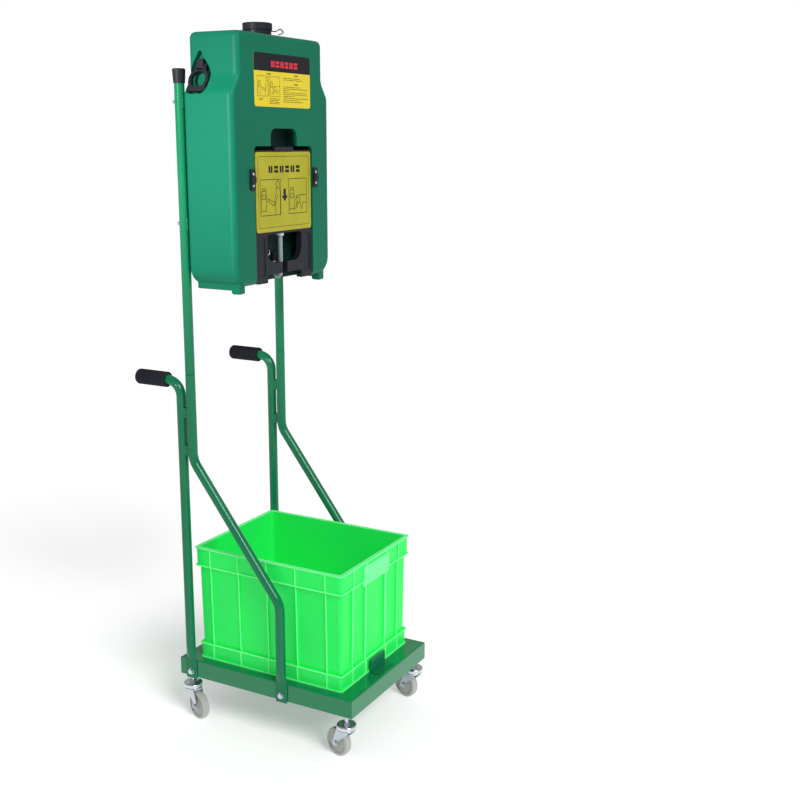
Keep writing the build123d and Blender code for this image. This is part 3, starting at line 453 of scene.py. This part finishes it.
# ---- labels --------------------------------------------------------------------------
def print_upper_label():
    """Black band with a red title, two pictograms and two columns of lines."""
    face, rise = LABEL_FACE, 0.15 * MM
    band = rounded_box(-123, 123, 515, 557, 8.0)
    for index, (x, z) in enumerate(band):
        if z < 530:
            band[index] = (-123 if x < 0 else 123, 515)
    band = list(dict.fromkeys(band))
    printed("label_band", [band], face, rise, INK, "chassis")
    printed("label_title", blocks(7, 525, 15, 20, 6), face - rise, rise, RED_INK, "chassis")
    drawings = pictogram(pull_lines(), -110, 456, 46, 47, 0.8)
    drawings += pictogram(wash_lines(), -58, 456, 43, 47, 0.8)
    drawings += blocks(-61, 507, 3.2, 4.4, 4) + blocks(58, 507, 3.2, 4.4, 4)
    drawings += blocks(58, 486, 3.2, 4.4, 4)
    drawings += bars(-104, -84, 450, 1.2, (0.9, 0.8), 3.6)
    drawings += bars(-60, -14, 450, 1.2, (1.0, 0.85, 0.9, 0.95), 3.8)
    drawings += bars(2, 112, 501, 1.2, (0.68, 0.8), 4.2)
    drawings += bars(0, 112, 480, 1.2, (0.7, 1.0, 0.22, 1.0, 0.97, 0.45, 1.0, 0.66, 0.8), 4.5)
    printed("label_print", drawings, face, rise, INK, "chassis")


def print_arm_plate():
    """Thin border, a title, two pictograms and an arrow that says pull."""
    face, rise = PLATE_FACE, 0.15 * MM
    border = rounded_box(-113, 113, 138, 312, 3.0, 3)
    drawings = stroke(border + border[:1], 1.0)
    drawings += pictogram(pull_lines(), -105, 168, 88, 88, 1.5)
    drawings += pictogram(wash_lines(), 20, 168, 82, 88, 1.5)
    drawings += blocks(2, 272, 17, 24.5, 6)
    drawings += down_arrow(1.5, 200, 27, 32)
    printed("plate_print", drawings, face, rise, INK, "arm")


# ---- hose ----------------------------------------------------------------------------
def feed_hose():
    """Clear hose folded under the arm's bar."""
    back, front = TANK_FRONT + 38 * MM, TANK_FRONT + 17 * MM
    turn = (back - front) / 2
    middle = (back + front) / 2
    low = TANK_Z + 20 * MM
    line = [(back, TANK_Z + 50 * MM - step * 10 * MM) for step in range(4)]
    for step in range(13):
        angle = radians(180 * step / 12)
        line.append((middle + turn * cos(angle), low - turn * sin(angle)))
    line += [(front, low + (94 * MM) * step / 16) for step in range(1, 17)]
    outer, sides = HOSE_R, HOSE_SIDES
    vertices, faces = [], []
    for index, (y, z) in enumerate(line):
        before = line[max(0, index - 1)]
        after = line[min(len(line) - 1, index + 1)]
        along = Vector((0, after[0] - before[0], after[1] - before[1])).normalized()
        across = Vector((1, 0, 0))
        up = along.cross(across)
        for side in range(sides):
            angle = 2 * pi * side / sides
            width = HOSE_FOLD_R + (outer - HOSE_FOLD_R) * min(1.0, max(0.0, (z - low) / (80 * MM)))
            point = Vector((0, y, z)) + width * cos(angle) * across + outer * sin(angle) * up
            vertices.append(tuple(point))
    for index in range(len(line) - 1):
        for side in range(sides):
            a = index * sides + side
            b = index * sides + (side + 1) % sides
            faces.append([a, b, b + sides, a + sides])
    faces.append(list(range(sides))[::-1])
    faces.append([len(vertices) - sides + side for side in range(sides)])
    hose = mesh_piece("hose_tube", vertices, faces, HOSE_GREY, None)
    for polygon in hose.data.polygons:
        polygon.use_smooth = True
    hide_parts("feed_hose")
    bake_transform(hose)


# ---- surroundings --------------------------------------------------------------------
def floor():
    """Pale floor under the wheels."""
    half = FLOOR_HALF
    mesh = bpy.data.meshes.new("floor")
    mesh.from_pydata([(-half, -half, 0), (half, -half, 0), (half, half, 0), (-half, half, 0)], [],
                     [(0, 1, 2, 3)])
    ground = bpy.data.objects.new("floor", mesh)
    bpy.context.scene.collection.objects.link(ground)
    white = finish_material("floor_white", (247, 247, 247), rough=0.9, mottle=0.0, grain=0.0)
    shader = white.node_tree.nodes["Principled BSDF"]
    shader.inputs["Emission Color"].default_value = (1.0, 1.0, 1.0, 1.0)
    shader.inputs["Emission Strength"].default_value = FLOOR_GLOW
    mesh.materials.append(white)


def lights():
    """White surroundings, a broad sun from the front left and a spot on the tank's left side."""
    world = bpy.data.worlds.new("studio")
    bpy.context.scene.world = world
    world.use_nodes = True
    tree = world.node_tree
    tree.nodes.clear()
    output = tree.nodes.new("ShaderNodeOutputWorld")
    mix = tree.nodes.new("ShaderNodeMixShader")
    path = tree.nodes.new("ShaderNodeLightPath")
    soft = tree.nodes.new("ShaderNodeBackground")
    seen = tree.nodes.new("ShaderNodeBackground")
    soft.inputs["Strength"].default_value = SKY_LIGHT
    for node in (soft, seen):
        node.inputs["Color"].default_value = (1.0, 1.0, 1.0, 1.0)
    seen.inputs["Strength"].default_value = 1.0
    tree.links.new(path.outputs["Is Camera Ray"], mix.inputs[0])
    tree.links.new(soft.outputs[0], mix.inputs[1])
    tree.links.new(seen.outputs[0], mix.inputs[2])
    tree.links.new(mix.outputs[0], output.inputs[0])
    data = bpy.data.lights.new("key", "SUN")
    data.energy = SUN_POWER
    data.angle = radians(SUN_ANGLE)
    key = bpy.data.objects.new("key", data)
    key.rotation_euler = Vector(SUN_FROM).to_track_quat("Z", "Y").to_euler()
    bpy.context.scene.collection.objects.link(key)
    data = bpy.data.lights.new("side", "SPOT")
    data.energy = SIDE_POWER
    data.spot_size = radians(SIDE_CONE)
    data.spot_blend = SIDE_BLEND
    data.shadow_soft_size = SIDE_RADIUS
    side = bpy.data.objects.new("side", data)
    side.location = SIDE_LAMP
    towards = Vector(SIDE_LAMP) - Vector(SIDE_AIM)
    side.rotation_euler = towards.to_track_quat("Z", "Y").to_euler()
    bpy.context.scene.collection.objects.link(side)


def camera():
    """The photographer's place, at eye height, towards the front left."""
    yaw, pitch, roll = radians(YAW), radians(PITCH), radians(ROLL)
    ahead = Vector((sin(yaw) * cos(pitch), cos(yaw) * cos(pitch), -sin(pitch)))
    right = Vector((cos(yaw), -sin(yaw), 0))
    up = right.cross(ahead)
    level_right = cos(roll) * right + sin(roll) * up
    level_up = -sin(roll) * right + cos(roll) * up
    turn = Matrix((level_right, level_up, -ahead)).transposed()
    data = bpy.data.cameras.new("camera")
    data.lens = LENS
    data.sensor_width = SENSOR
    data.clip_end = 200.0
    view = bpy.data.objects.new("camera", data)
    view.matrix_world = Matrix.Translation(EYE) @ turn.to_4x4()
    bpy.context.scene.collection.objects.link(view)
    bpy.context.scene.camera = view


def main():
    """Builds the looks."""
    camera()
    lights()
    floor()
    dress_frame()
    print_upper_label()
    print_arm_plate()
    feed_hose()
    bpy.context.scene.view_settings.view_transform = "Standard"


main()
